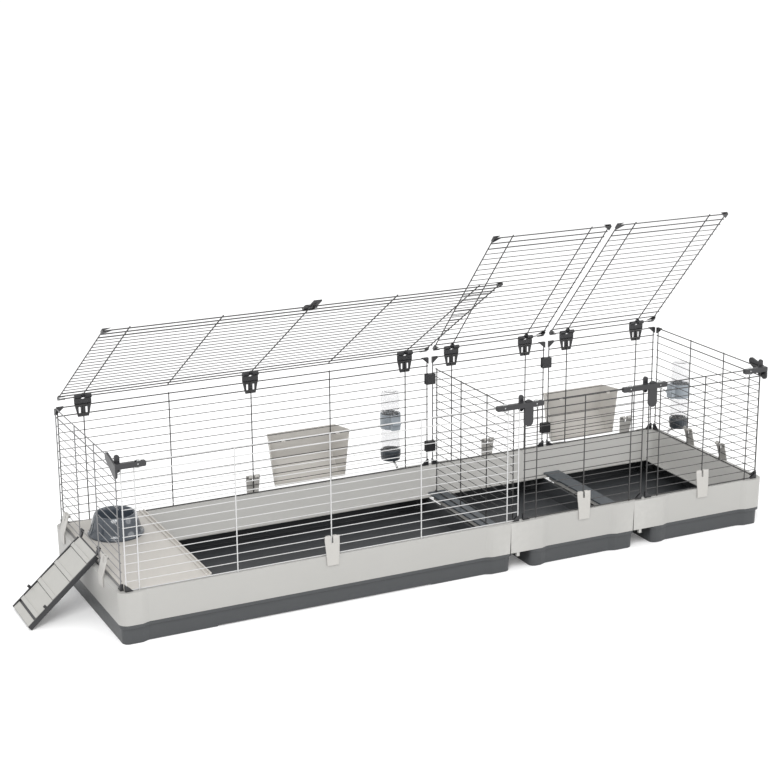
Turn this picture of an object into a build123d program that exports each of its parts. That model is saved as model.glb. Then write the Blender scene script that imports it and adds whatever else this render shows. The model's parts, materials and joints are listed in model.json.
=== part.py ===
from build123d import *
from math import asin, atan2, cos, degrees, radians, sin, sqrt
import os

os.makedirs("parts", exist_ok=True)

# Modular rabbit cage: one long compartment and two short ones on a shared base.
# Frame: X along the length, Y from front to rear, Z up from the floor, origin at the middle of the footprint.

# Plan, between the planes of the wire walls
large_length = 1196.0
small_length = 420.0
cage_depth = 572.0

# Wires, measured across their flats
strong_wire = 3.4
thin_wire = 2.2
weld_gap = 0.05
row_pitch = 24.8
wall_rows = 14
partition_rows = 16
roof_rows = 22

# Base frames
rim_height = 148.0
skirt_height = 92.0
skirt_wall = 3.0
skirt_draft = 1.2
rim_overhang = 14.0
rim_inner = 11.0
ledge_drop = 80.0
ledge_inner = 44.0
ledge_wall = 3.0
opening_inner = 70.0
recess_depth = 8.0
step_run = 24.0
step_easing = 5.0
base_corner = 28.0
end_corner_length = 46.0
junction_before = 95.0
junction_after = 65.0
seam_before_junction = 39.0
bridge_width = 44.0
joining_lug = 9.0
lug_drop = 12.0

# Trays
tray_gap = 54.0
tray_end_inset = 6.0
collar_inset = 2.5
collar_height = 10.0
tray_body_inset = 8.0
tray_wall = 3.0
tray_floor = 6.0
tray_draft = 2.0
sole_relief = 3.0
sole_foot_length = 262.0

# Cover bars over the gaps between trays
bar_width = 50.0
bar_height = 6.0
bar_pad_width = 58.0
bar_pad_length = 90.0
bar_notch = 8.0

# Shelf
shelf_length = 250.0
shelf_thickness = 4.0
shelf_lip = 14.0
shelf_rib = 5.0
shelf_clearance = 0.8

# Positions of the upright wires, from the start of each compartment
front_large_columns = (46.0, 322.0, 598.0, 874.0, 1150.0)
rear_large_columns = (86.0, 342.0, 598.0, 854.0, 1110.0)
front_small_columns = (50.0, 210.0, 370.0)
rear_small_columns = (77.0, 343.0)
end_columns = (198.0, 374.0)
wall_end_gap = 8.0
end_panel_gap = 12.0
roof_end_gap = 13.0

# Doorway in the left end panel, in rows of wire
door_sill_row = 2
door_top_row = 9

# Partition
partition_clearance = 1.5
partition_bays = 3

# Corner caps
cap_leg = 20.0
cap_wall = 1.2
cap_edge = 3.2
cap_clearance = 0.1

# Roofs and their hinges
hinge_rise = 22.0
roof_depth = 562.0
roof_edge_rows = 3
large_roof_open = 33.0
small_roof_open = 48.0
pin_clearance = 0.35
barrel_wall = 3.4
barrel_sides = 14
bore_sides = 8
hinge_top_width = 50.0
hinge_foot_width = 32.0
hinge_drop = 38.0
hinge_plate = 5.0
hinge_gap = 10.0
hinge_leaf = 8.6
hinge_leaf_length = 17.0

# Roof latch
latch_column = 598.0
latch_width = 34.0
latch_length = 30.0
latch_height = 8.0
lever_width = 24.0
lever_length = 44.0
lever_thickness = 4.0
lever_gap = 7.0
latch_gap = 9.0

# Joiners at the rear junctions
joiner_width = 34.0
joiner_height = 34.0
joiner_plate = 4.0
joiner_levels = (62.0, 281.0)
partition_clip_level = 200.0

# Corner connectors and turning knobs at the front top edge
arm_height = 15.0
arm_depth = 11.0
arm_above_top = 5.0
long_arm = 88.0
short_arm = 64.0
end_arm = 76.0
shield_width = 28.0
shield_drop = 50.0
shield_offset = 17.0
lobe_width = 14.0
lobe_height = 48.0
connector_plate = 6.0
fin_length = 62.0
knob_radius = 12.0
knob_thickness = 4.0
knob_sides = 26
knob_clearance = 0.4
long_arm_knob = 62.0
short_arm_knob = 41.0
end_arm_knob = 54.0

# Panel clips
clip_row = 2
clip_width = 44.0
clip_foot_width = 34.0
clip_strip = 3.0
clip_foot_drop = 28.0
clip_eye_wall = 3.0
clip_eye_width = 13.0
eye_sides = 12
clip_clearance = 0.3
clip_slot = 6.0
clip_slot_height = 20.0
rear_clip_in_small_1 = 210.0
rear_clip_in_small_2 = 314.0
left_clip_places = (140.0, 500.0)
right_clip_places = (198.0, 374.0)

# Hay racks
rack_in_large = 786.0
rack_in_small_2 = 146.0
rack_top_width = 270.0
rack_bottom_width = 236.0
rack_taper = 22.0
rack_top = 156.0
rack_kink = 70.0
rack_bottom = 8.0
rack_depth = 70.0
rack_foot_depth = 30.0
rack_wall = 2.5
rack_hook_spacing = 180.0
rack_hook_width = 12.0
rack_hook_row = 5
hook_wall = 3.0
hook_drop = 9.0

# Water bottles
bottle_radius = 29.0
bottle_standoff = 40.0
bottle_bottom = 58.0
bottle_height = 190.0
bottle_wall = 1.5
cap_height = 34.0
neck_radius = 25.0
neck_length = 12.0
bottle_round = 12.0
cap_radius = 32.0
spout_radius = 4.0
spout_bore = 3.0
spout_reach = 54.0
spout_level = 36.0
spout_tilt = 30.0
ball_radius = 2.7
holder_level = 152.0
holder_height = 46.0
holder_wall = 3.0
holder_clearance = 0.3
bottle_sides = 24
rear_bottle_place = 1078.0
right_bottle_place = 480.0

# Bowl
bowl_from_left = 118.0
bowl_from_front = 424.0
bowl_base_radius = 80.0
bowl_waist_radius = 74.0
bowl_top_radius = 58.0
bowl_height = 62.0
bowl_wall = 7.0
bowl_depth = 46.0
bowl_skirt = 6.0
bowl_sides = 32

# Ramp
ramp_width = 166.0
ramp_length = 280.0
ramp_board_wall = 3.0
ramp_face_drop = 9.0
ramp_rib = 4.0
ramp_ribs = 4
ramp_rib_width = 13.0
ramp_first_rib = 45.0
ramp_rib_pitch = 66.0
ramp_rail = 5.0
ramp_rail_depth = 14.0
ramp_rail_start = 20.0
ramp_bottom = 19.0
ramp_floor_clearance = 0.3
ramp_hook_wall = 3.2
ramp_hook_width = 14.0
ramp_catch_reach = 210.0
ramp_catch = 9.0

# Derived places
cage_length = large_length + 2 * small_length
left_wall = -cage_length / 2
right_wall = cage_length / 2
front_wall = -cage_depth / 2
rear_wall = cage_depth / 2
compartment_starts = (0, large_length, large_length + small_length)
junctions = (left_wall + compartment_starts[1], left_wall + compartment_starts[2])
front_clip_places = (front_large_columns[2], compartment_starts[1] + front_small_columns[1],
                     compartment_starts[2] + front_small_columns[1])
rear_clip_places = (rear_large_columns[2], compartment_starts[1] + rear_clip_in_small_1,
                    compartment_starts[2] + rear_clip_in_small_2)
rack_places = (rack_in_large, compartment_starts[2] + rack_in_small_2)
seams = tuple(junction - seam_before_junction for junction in junctions)
skirt_bottom = rim_height - skirt_height
ledge_top = rim_height - ledge_drop
ledge_bottom = ledge_top - ledge_wall
bar_top = ledge_top + bar_height
strong = strong_wire / 2
thin = thin_wire / 2
strong_corner = strong / cos(radians(30))
strong_height = 2 * strong_corner
thin_layer = strong + weld_gap + thin
strong_layer = strong + weld_gap + strong
wall_height = wall_rows * row_pitch + strong_height
wall_top = rim_height + wall_height
roof_pitch = roof_depth / roof_rows
roof_height = roof_depth + strong_height
hinge_level = wall_top + hinge_rise
thin_corner = thin / cos(radians(30))
inner_flat = strong_layer + strong


def row_level(row):
    """Height of a row of wire above the foot of its panel."""
    return strong_corner + row * row_pitch


def front_plane(place, level=rim_height):
    """Plane of the front wall, looking out to the front, with its origin at a place along the length."""
    return Plane(origin=(left_wall + place, front_wall, level), x_dir=(1, 0, 0), z_dir=(0, -1, 0))


def rear_plane(place, level=rim_height):
    """Plane of the rear wall, looking out to the rear, running back along the length."""
    return Plane(origin=(left_wall + place, rear_wall, level), x_dir=(-1, 0, 0), z_dir=(0, 1, 0))


def left_plane(place, level=rim_height):
    """Plane of the left end, looking out to the left, running from rear to front."""
    return Plane(origin=(left_wall, front_wall + place, level), x_dir=(0, -1, 0), z_dir=(-1, 0, 0))


def right_plane(place, level=rim_height):
    """Plane of the right end, looking out to the right, running from front to rear."""
    return Plane(origin=(right_wall, front_wall + place, level), x_dir=(0, 1, 0), z_dir=(1, 0, 0))


def roof_plane(place, opening):
    """Plane of a roof's cross wires, turned about its hinge wire and raised by the opening angle."""
    rise = (0, sin(radians(opening)), cos(radians(opening)))
    toward_rear = Vector(0, cos(radians(opening)), -sin(radians(opening)))
    hinge = Vector(left_wall + place, rear_wall, hinge_level)
    return Plane(origin=hinge + Vector(*rise) * strong_layer + toward_rear * strong_corner,
                 x_dir=(-1, 0, 0), z_dir=rise)


def export(sub_part, label):
    sub_part.part.label = label
    export_step(sub_part.part, f"parts/{label}.step")


def section_along(panel):
    """Plane across a panel at its start, for the wires that run along it: (inward, up)."""
    return Plane(origin=panel.origin, x_dir=-panel.z_dir, z_dir=panel.x_dir)


def section_up(panel):
    """Plane across a panel at its foot, for the wires that stand in it: (along, inward)."""
    return Plane(origin=panel.origin, x_dir=panel.x_dir, z_dir=panel.y_dir)


def wire_panel(panel, length, columns, rows, pitch, strong_rows, doorway=None):
    """Welded panel: hexagonal wires in two layers, the rows lying on the inner flats of the columns."""
    height = rows * pitch + strong_height
    posts = [strong_corner, *columns, length - strong_corner]
    with BuildPart() as wires:
        with BuildSketch(section_along(panel)):
            with Locations(*[(thin_layer, strong_corner + row * pitch) for row in range(rows + 1)
                             if row not in strong_rows]):
                RegularPolygon(radius=thin, side_count=6, major_radius=False, rotation=30)
            with Locations(*[(strong_layer, strong_corner + row * pitch) for row in strong_rows]):
                RegularPolygon(radius=strong, side_count=6, major_radius=False, rotation=30)
        extrude(amount=length)
        if doorway:
            start, end, sill, top = doorway
            with BuildSketch(panel):
                with Locations(((start + end) / 2, (sill + top) / 2)):
                    Rectangle(end - start, top - sill)
            extrude(amount=-cap_leg, mode=Mode.SUBTRACT)
        with BuildSketch(section_up(panel)):
            with Locations(*[(along, 0) for along in posts]):
                RegularPolygon(radius=strong, side_count=6, major_radius=False)
        extrude(amount=height)
    return wires


def corner_cap(panel, along, up, toward_x, toward_y):
    """Triangular cap over a panel's corner: two plates on the flats of the wires, closed along both legs."""
    corner = (along - toward_x * cap_edge, up)
    tips = [(along + toward_x * cap_leg, up), (along - toward_x * cap_edge, up + toward_y * cap_leg)]
    hollow_corner = (along - toward_x * (strong_corner + cap_clearance), up - toward_y)
    hollow_tips = [(along + toward_x * 2 * cap_leg, up - toward_y),
                   (hollow_corner[0], up + toward_y * 2 * cap_leg)]
    with BuildPart() as cap:
        with BuildSketch(panel.offset(strong + cap_wall)):
            with BuildLine():
                Polyline(corner, *tips, close=True)
            make_face()
        extrude(amount=-strong - inner_flat - 2 * cap_wall)
        with BuildSketch(panel.offset(strong)):
            with BuildLine():
                Polyline(hollow_corner, *hollow_tips, close=True)
            make_face()
        extrude(amount=-strong - inner_flat, mode=Mode.SUBTRACT)
    return cap


def module_outline(start, end, recess_start, recess_end, inset, rounded):
    """Plan of a module: full depth at its ends, drawn in between them through an easy step."""
    edge = cage_depth / 2 + rim_overhang - inset
    hollow = edge - recess_depth
    step_out = step_easing * recess_depth / (2 * (step_run - step_easing))
    with BuildSketch() as outline:
        with BuildLine() as border:
            Polyline((start, -edge), (recess_start, -edge),
                     (recess_start + step_easing, step_out - edge),
                     (recess_start + step_run - step_easing, -hollow - step_out),
                     (recess_start + step_run, -hollow),
                     (recess_end - step_run, -hollow),
                     (recess_end - step_run + step_easing, -hollow - step_out),
                     (recess_end - step_easing, step_out - edge),
                     (recess_end, -edge), (end, -edge))
            mirror(about=Plane.XZ)
            Line((start, -edge), (start, edge))
            Line((end, -edge), (end, edge))
        make_face()
        if "left" in rounded:
            fillet(outline.vertices().group_by(Axis.X)[0], radius=base_corner - inset)
        if "right" in rounded:
            fillet(outline.vertices().group_by(Axis.X)[-1], radius=base_corner - inset)
    return outline.sketch


# The well that the three frames share: a funnel from the rims down to the ledge
def funnel(grow, bottom):
    with BuildPart() as well:
        with BuildSketch(Plane.XY.offset(rim_height)):
            RectangleRounded(cage_length - 2 * rim_inner + 2 * grow, cage_depth - 2 * rim_inner + 2 * grow,
                             base_corner)
        with BuildSketch(Plane.XY.offset(bottom)):
            RectangleRounded(cage_length - 2 * ledge_inner + 2 * grow,
                             cage_depth - 2 * ledge_inner + 2 * grow, base_corner)
        loft(ruled=True)
    return well


well = funnel(0, ledge_top)
well_shell = funnel(ledge_wall, ledge_bottom)
recesses = (
    (left_wall + end_corner_length, junctions[0] - junction_before),
    (junctions[0] + junction_after, junctions[1] - junction_before),
    (junctions[1] + junction_after, right_wall - end_corner_length),
)


def well_wall(start, end):
    """The sloping inner wall and ledge of one module, before the well is cut through it."""
    with BuildPart() as wall:
        with BuildSketch(Plane.XY.offset(ledge_bottom)):
            with Locations(((start + end) / 2, 0)):
                Rectangle(end - start, cage_depth)
        extrude(amount=rim_height - ledge_bottom)
        add(well_shell.part, mode=Mode.INTERSECT)
    return wall.part


def base_frame(start, end, recess, rounded, openings, bridge_at=None):
    """Light frame of one module: drafted skirt, flat rim, sloping inner wall and ledge, open below."""
    cut_start = start if "left" in rounded else start - base_corner
    cut_end = end if "right" in rounded else end + base_corner
    with BuildPart() as frame:
        with BuildSketch(Plane.XY.offset(rim_height)):
            add(module_outline(start, end, *recess, 0, rounded))
        extrude(amount=-skirt_height, taper=skirt_draft)
        with BuildSketch(Plane.XY.offset(rim_height - skirt_wall)):
            add(module_outline(cut_start + skirt_wall * ("left" in rounded),
                               cut_end - skirt_wall * ("right" in rounded), *recess, skirt_wall, rounded))
        extrude(amount=-skirt_height, taper=skirt_draft, mode=Mode.SUBTRACT)
        add(well_wall(start, end))
        add(well.part, mode=Mode.SUBTRACT)
        for opening_start, opening_end in openings:
            with BuildSketch(Plane.XY.offset(ledge_top)):
                with Locations(((opening_start + opening_end) / 2, 0)):
                    Rectangle(opening_end - opening_start, cage_depth - 2 * opening_inner)
            extrude(amount=-2 * ledge_wall, mode=Mode.SUBTRACT)
        if bridge_at is not None:
            with BuildSketch(Plane.XY.offset(ledge_top)):
                with Locations((bridge_at, 0)):
                    Rectangle(bridge_width, cage_depth - 2 * opening_inner)
            extrude(amount=skirt_bottom - ledge_top)
            lug_out = cage_depth / 2 + rim_overhang - skirt_wall - joining_lug / 2
            with BuildSketch(Plane.XY.offset(skirt_bottom + lug_drop)):
                with Locations((bridge_at - bridge_width / 2 + joining_lug, -lug_out),
                               (bridge_at - bridge_width / 2 + joining_lug, lug_out)):
                    Rectangle(joining_lug, joining_lug)
            extrude(amount=-2 * lug_drop)
    return frame


frame_large = base_frame(
    left_wall - rim_overhang, seams[0], recesses[0], ("left",),
    [(left_wall + opening_inner, seams[0] + base_corner)])
export(frame_large, "frame_large")
frame_small_1 = base_frame(
    seams[0], seams[1], recesses[1], (),
    [(seams[0] - base_corner, junctions[0] - bridge_width / 2),
     (junctions[0] + bridge_width / 2, seams[1] + base_corner)], junctions[0])
export(frame_small_1, "frame_small_1")
frame_small_2 = base_frame(
    seams[1], right_wall + rim_overhang, recesses[2], ("right",),
    [(seams[1] - base_corner, junctions[1] - bridge_width / 2),
     (junctions[1] + bridge_width / 2, right_wall - opening_inner)], junctions[1])
export(frame_small_2, "frame_small_2")


def tray(start, end, recess, relief=None):
    """Deep tray: collar under the skirt, drafted body drawn in below it, open top, relieved sole."""
    inset = tray_body_inset - collar_inset
    both = ("left", "right")
    with BuildPart() as pan:
        with BuildSketch(Plane.XY.offset(skirt_bottom)):
            add(module_outline(start, end, *recess, collar_inset, both))
        extrude(amount=-collar_height)
        with BuildSketch(Plane.XY.offset(skirt_bottom - collar_height)):
            add(module_outline(start + inset, end - inset, *recess, tray_body_inset, both))
        extrude(amount=collar_height - skirt_bottom, taper=tray_draft)
        with BuildSketch(Plane.XY.offset(skirt_bottom)):
            add(module_outline(start + inset + tray_wall, end - inset - tray_wall, *recess,
                               tray_body_inset + tray_wall, both))
        extrude(amount=tray_floor - skirt_bottom, taper=tray_draft, mode=Mode.SUBTRACT)
        if relief:
            with BuildSketch():
                with Locations(((relief[0] + relief[1]) / 2, 0)):
                    Rectangle(relief[1] - relief[0], 2 * cage_depth)
            extrude(amount=sole_relief, mode=Mode.SUBTRACT)
    return pan


tray_starts = (left_wall - rim_overhang + collar_inset,
               junctions[0] + tray_gap / 2, junctions[1] + tray_gap / 2)
tray_ends = (junctions[0] - tray_gap / 2, junctions[1] - tray_gap / 2,
             right_wall + rim_overhang - collar_inset)
large_relief = (left_wall + sole_foot_length, tray_ends[0] - sole_foot_length)
tray_large = tray(tray_starts[0], tray_ends[0], recesses[0], large_relief)
export(tray_large, "tray_large")
tray_small_1 = tray(tray_starts[1], tray_ends[1], recesses[1])
export(tray_small_1, "tray_small_1")
tray_small_2 = tray(tray_starts[2], tray_ends[2], recesses[2])
export(tray_small_2, "tray_small_2")

# Cover bars that close the gaps between the trays
bar_length = cage_depth - 2 * ledge_inner - 2 * shelf_clearance
with BuildPart() as bridge_bars:
    with BuildSketch(Plane.XY.offset(ledge_top)):
        with Locations(*[(junction, 0) for junction in junctions]):
            Rectangle(bar_width, bar_length)
            with Locations((0, (bar_length - bar_pad_length) / 2), (0, (bar_pad_length - bar_length) / 2)):
                Rectangle(bar_pad_width, bar_pad_length)
            with Locations((bar_width / 2, bar_length / 2 - bar_pad_length - bar_notch),
                           (bar_width / 2, bar_notch + bar_pad_length - bar_length / 2)):
                Rectangle(bar_notch, bar_notch, mode=Mode.SUBTRACT)
    extrude(amount=bar_height)
export(bridge_bars, "bridge_bars")

# Shelf that rests on the rims at the left end, with a turned-down edge and two ribs
shelf_edge = inner_flat + cap_wall + shelf_clearance
lip_inner = rim_inner + (ledge_inner - rim_inner) * shelf_lip / ledge_drop + shelf_clearance
with BuildPart() as shelf:
    with BuildSketch(Plane.XY.offset(rim_height)):
        with Locations((left_wall + (shelf_edge + shelf_length) / 2, 0)):
            Rectangle(shelf_length - shelf_edge, cage_depth - 2 * shelf_edge)
    extrude(amount=shelf_thickness)
    with BuildSketch(Plane.XY.offset(rim_height)):
        with Locations((left_wall + shelf_length - shelf_thickness / 2, 0)):
            Rectangle(shelf_thickness, cage_depth - 2 * lip_inner)
    extrude(amount=-shelf_lip)
    with BuildSketch(Plane.XY.offset(rim_height + shelf_thickness)):
        with Locations((left_wall + shelf_length - shelf_rib / 2, 0),
                       (left_wall + shelf_length - 3 * shelf_rib, 0)):
            Rectangle(shelf_rib, cage_depth - 2 * shelf_edge)
    extrude(amount=shelf_rib)
export(shelf, "shelf")

# Wire walls. The top two rows and the bottom row are of the stronger wire.
edge_rows = (0, wall_rows - 1, wall_rows)
compartment_ends = (*compartment_starts[1:], cage_length)
wall_starts = tuple(start + wall_end_gap for start in compartment_starts)
wall_ends = tuple(end - wall_end_gap for end in compartment_ends)
front_columns = (front_large_columns,
                 *(tuple(start + column for column in front_small_columns)
                   for start in compartment_starts[1:]))
rear_columns = (rear_large_columns,
                *(tuple(start + column for column in rear_small_columns)
                  for start in compartment_starts[1:]))
compartments = ("large", "small_1", "small_2")
for name, start, end, front, rear in zip(compartments, wall_starts, wall_ends, front_columns, rear_columns):
    front_panel = wire_panel(front_plane(start), end - start, [column - start for column in front],
                             wall_rows, row_pitch, edge_rows)
    export(front_panel, f"front_panel_{name}")
    rear_panel = wire_panel(rear_plane(end), end - start, [end - column for column in rear],
                            wall_rows, row_pitch, edge_rows)
    export(rear_panel, f"rear_panel_{name}")

end_width = cage_depth - 2 * end_panel_gap
left_start = cage_depth - end_panel_gap
doorway = (left_start - end_columns[1], left_start - end_columns[0],
           row_level(door_sill_row) + row_pitch / 2, row_level(door_top_row) - row_pitch / 2)
left_end_panel = wire_panel(left_plane(left_start), end_width,
                            [left_start - column for column in end_columns],
                            wall_rows, row_pitch, edge_rows, doorway)
export(left_end_panel, "left_end_panel")
right_end_panel = wire_panel(right_plane(end_panel_gap), end_width,
                             [column - end_panel_gap for column in end_columns],
                             wall_rows, row_pitch, edge_rows)
export(right_end_panel, "right_end_panel")

# Partition that stands on the first cover bar
partition_width = cage_depth - 2 * ledge_inner - 2 * partition_clearance
partition_plane = Plane(origin=(junctions[0], -partition_width / 2, bar_top),
                        x_dir=(0, 1, 0), z_dir=(1, 0, 0))
partition_panel = wire_panel(
    partition_plane, partition_width,
    [partition_width * bay / partition_bays for bay in range(1, partition_bays)],
    partition_rows, row_pitch, (0, partition_rows))
export(partition_panel, "partition_panel")

# Corner caps of the walls: all four on the rear panels, the lower ones in front, where the connectors
# hold the top, and three on each end panel
with BuildPart() as wall_corner_caps:
    for start, end in zip(wall_starts, wall_ends):
        length = end - start
        for along, toward_x in ((strong_corner, 1), (length - strong_corner, -1)):
            add(corner_cap(front_plane(start), along, 0, toward_x, 1).part)
            add(corner_cap(rear_plane(end), along, 0, toward_x, 1).part)
            add(corner_cap(rear_plane(end), along, wall_height, toward_x, -1).part)
    for along, toward_x in ((strong_corner, 1), (end_width - strong_corner, -1)):
        add(corner_cap(left_plane(left_start), along, 0, toward_x, 1).part)
        add(corner_cap(right_plane(end_panel_gap), along, 0, toward_x, 1).part)
    add(corner_cap(left_plane(left_start), strong_corner, wall_height, 1, -1).part)
    add(corner_cap(right_plane(end_panel_gap), end_width - strong_corner, wall_height, -1, -1).part)
export(wall_corner_caps, "wall_corner_caps")

# Roofs: hinged on their rear edge wire, three strong rows at each edge
roof_starts = tuple(start + roof_end_gap for start in compartment_starts)
roof_ends = tuple(end - roof_end_gap for end in compartment_ends)
roof_openings = (large_roof_open, small_roof_open, small_roof_open)
roof_strong_rows = (*range(roof_edge_rows), *range(roof_rows + 1 - roof_edge_rows, roof_rows + 1))


def hinge_leaf_block(panel, column):
    """Leaf on the roof: grips the hinge wire and the cross wire, and turns between the barrels."""
    leaf_start = strong_corner - strong - cap_wall
    with BuildPart() as leaf:
        with BuildSketch(panel.offset(strong + cap_wall)):
            with Locations((column, leaf_start + hinge_leaf_length / 2)):
                Rectangle(hinge_leaf, hinge_leaf_length)
        extrude(amount=-strong - inner_flat - 2 * cap_wall)
        with BuildSketch(panel.offset(strong)):
            with Locations((column, 0)):
                Rectangle(2 * (strong_corner + cap_clearance), 4 * hinge_leaf_length)
        extrude(amount=-strong_wire - weld_gap, mode=Mode.SUBTRACT)
        with BuildSketch(panel.offset(-strong)):
            with Locations((column, strong_corner)):
                Rectangle(2 * hinge_leaf, 2 * (strong_corner + cap_clearance))
        extrude(amount=strong - inner_flat, mode=Mode.SUBTRACT)
    return leaf


for name, start, end, columns, opening in zip(
        compartments, roof_starts, roof_ends, rear_columns, roof_openings):
    panel = roof_plane(end, opening)
    along_columns = [end - column for column in columns]
    roof = wire_panel(panel, end - start, along_columns, roof_rows, roof_pitch, roof_strong_rows)
    export(roof, f"roof_{name}")
    hinged = [end - column for column in columns if column in rear_columns[0][::2] or name != "large"]
    with BuildPart() as roof_fittings:
        for along, toward_x in ((strong_corner, 1), (end - start - strong_corner, -1)):
            add(corner_cap(panel, along, 0, toward_x, 1).part)
            add(corner_cap(panel, along, roof_height, toward_x, -1).part)
        for column in hinged:
            add(hinge_leaf_block(panel, column).part)
    export(roof_fittings, f"roof_fittings_{name}")

# Hinge clips on the rear walls: a tapered plate on the upright wire and two barrels round the roof's wire
barrel_bore = strong_corner + pin_clearance
barrel_radius = barrel_bore + barrel_wall
hinge_foot = wall_top - hinge_drop
hinge_places = (*rear_columns[0][::2], *rear_columns[1], *rear_columns[2])


def hinge_clip(place):
    x = left_wall + place
    with BuildPart() as clip:
        with BuildSketch(Plane.YZ.offset(x)):
            with Locations((rear_wall, hinge_level)):
                RegularPolygon(barrel_radius, barrel_sides)
            with Locations((rear_wall + strong + hinge_plate / 2, (hinge_level + hinge_foot) / 2)):
                Rectangle(hinge_plate, hinge_level - hinge_foot)
            with Locations((rear_wall, hinge_level)):
                RegularPolygon(barrel_bore, bore_sides, major_radius=False, mode=Mode.SUBTRACT)
        extrude(amount=hinge_top_width / 2, both=True)
        with BuildSketch(Plane.XZ.offset(-rear_wall - 2 * barrel_radius)):
            with BuildLine():
                Polyline((x - hinge_top_width / 2, hinge_level + 2 * barrel_radius),
                         (x - hinge_top_width / 2, wall_top + strong),
                         (x - hinge_foot_width / 2, hinge_foot),
                         (x + hinge_foot_width / 2, hinge_foot),
                         (x + hinge_top_width / 2, wall_top + strong),
                         (x + hinge_top_width / 2, hinge_level + 2 * barrel_radius), close=True)
            make_face()
            with Locations((x, hinge_level + barrel_radius / 2)):
                Rectangle(hinge_gap, 4 * barrel_radius, mode=Mode.SUBTRACT)
            with Locations((x - hinge_gap, wall_top - hinge_drop / 2),
                           (x + hinge_gap, wall_top - hinge_drop / 2)):
                Rectangle(hinge_gap - strong_wire, hinge_drop / 2, mode=Mode.SUBTRACT)
        extrude(amount=4 * barrel_radius, mode=Mode.INTERSECT)
    return clip


with BuildPart() as hinge_clips:
    for place in hinge_places:
        add(hinge_clip(place).part)
export(hinge_clips, "hinge_clips")

# Joiners that hold neighbouring rear panels together
web_half = wall_end_gap - cap_clearance
joiner_inner = thin_layer + thin
with BuildPart() as rear_joiners:
    for level in joiner_levels:
        with BuildSketch(Plane.XY.offset(rim_height + level - joiner_height / 2)):
            with Locations(*[(junction, rear_wall) for junction in junctions]):
                with Locations((0, strong + joiner_plate / 2), (0, -joiner_inner - joiner_plate / 2)):
                    Rectangle(joiner_width, joiner_plate)
                with Locations((0, (strong - joiner_inner) / 2)):
                    Rectangle(2 * web_half, strong + joiner_inner)
        extrude(amount=joiner_height)
export(rear_joiners, "rear_joiners")

# Corner connectors along the front top edge, with slots for the turning knobs
arm_top = wall_top + arm_above_top
arm_level = arm_top - arm_height / 2
arm_middle = strong + arm_depth / 2
slot_width = knob_thickness + 2 * knob_clearance
pin_radius = knob_thickness / 2


def outward(distance):
    """Plane of the front wall moved outward, in world X and Z."""
    return Plane.XZ.offset(-front_wall + distance)


def knob_slot(x):
    """Room for one knob: a slot across the arm and the bore of its pin."""
    with BuildPart() as slot:
        with BuildSketch(outward(arm_middle - slot_width / 2)):
            with Locations((x, arm_level)):
                Rectangle(2 * (knob_radius + knob_clearance), 2 * arm_height)
        extrude(amount=slot_width)
        with BuildSketch(outward(strong - knob_clearance)):
            with Locations((x, arm_level)):
                RegularPolygon(pin_radius + knob_clearance, bore_sides, major_radius=False)
        extrude(amount=arm_depth + 2 * knob_clearance)
    return slot.part


def middle_connector(junction):
    """Arm across both panels, a shield below it, and an inner lobe joined through between the posts."""
    with BuildPart() as connector:
        with BuildSketch(outward(strong)):
            with Locations((junction + (short_arm - long_arm) / 2, arm_level)):
                RectangleRounded(long_arm + short_arm, arm_height, knob_thickness)
        extrude(amount=arm_depth)
        with BuildSketch(outward(strong)):
            with Locations((junction + shield_offset, arm_level - shield_drop / 2)):
                SlotOverall(shield_drop + shield_width, shield_width, rotation=90)
        extrude(amount=arm_depth - skirt_wall)
        with BuildSketch(outward(-inner_flat - connector_plate)):
            with Locations((junction, wall_top)):
                SlotOverall(lobe_height, lobe_width, rotation=90)
        extrude(amount=connector_plate)
        with BuildSketch(outward(-inner_flat)):
            with Locations((junction, arm_level)):
                Rectangle(lobe_width, arm_height)
        extrude(amount=inner_flat + strong)
        add(knob_slot(junction - long_arm_knob), mode=Mode.SUBTRACT)
        add(knob_slot(junction + short_arm_knob), mode=Mode.SUBTRACT)
    return connector


with BuildPart() as middle_connectors:
    for junction in junctions:
        add(middle_connector(junction).part)
export(middle_connectors, "middle_connectors")

# The end connectors have one arm and a rounded fin along the end panel
with BuildPart() as left_connector:
    with BuildSketch(outward(strong)):
        with Locations((left_wall + (end_arm - strong - connector_plate) / 2, arm_level)):
            RectangleRounded(end_arm + strong + connector_plate, arm_height, knob_thickness)
    extrude(amount=arm_depth)
    with BuildSketch(Plane.YZ.offset(left_wall - strong)) as fin:
        with Locations((front_wall + fin_length, wall_top + arm_above_top)):
            Circle(lobe_width - arm_above_top / 2)
        with Locations((front_wall - strong, wall_top - shield_drop / 2)):
            Circle(arm_depth)
        with Locations((front_wall - arm_above_top, wall_top - arm_above_top)):
            Circle(arm_above_top + strong)
        make_hull()
    extrude(amount=-connector_plate)
    with BuildSketch(outward(-inner_flat - connector_plate)):
        with Locations((left_wall + (lobe_width - connector_plate) / 2, wall_top)):
            SlotOverall(lobe_height, lobe_width, rotation=90)
    extrude(amount=connector_plate)
    with BuildSketch(outward(-inner_flat - cap_clearance)):
        with Locations((left_wall + (web_half - strong) / 2, arm_level)):
            Rectangle(web_half + strong, arm_height)
    extrude(amount=inner_flat + cap_clearance + strong)
    add(knob_slot(left_wall + end_arm_knob), mode=Mode.SUBTRACT)
with BuildPart() as end_connectors:
    add(left_connector.part)
    mirror(about=Plane.YZ)
export(end_connectors, "end_connectors")

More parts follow.
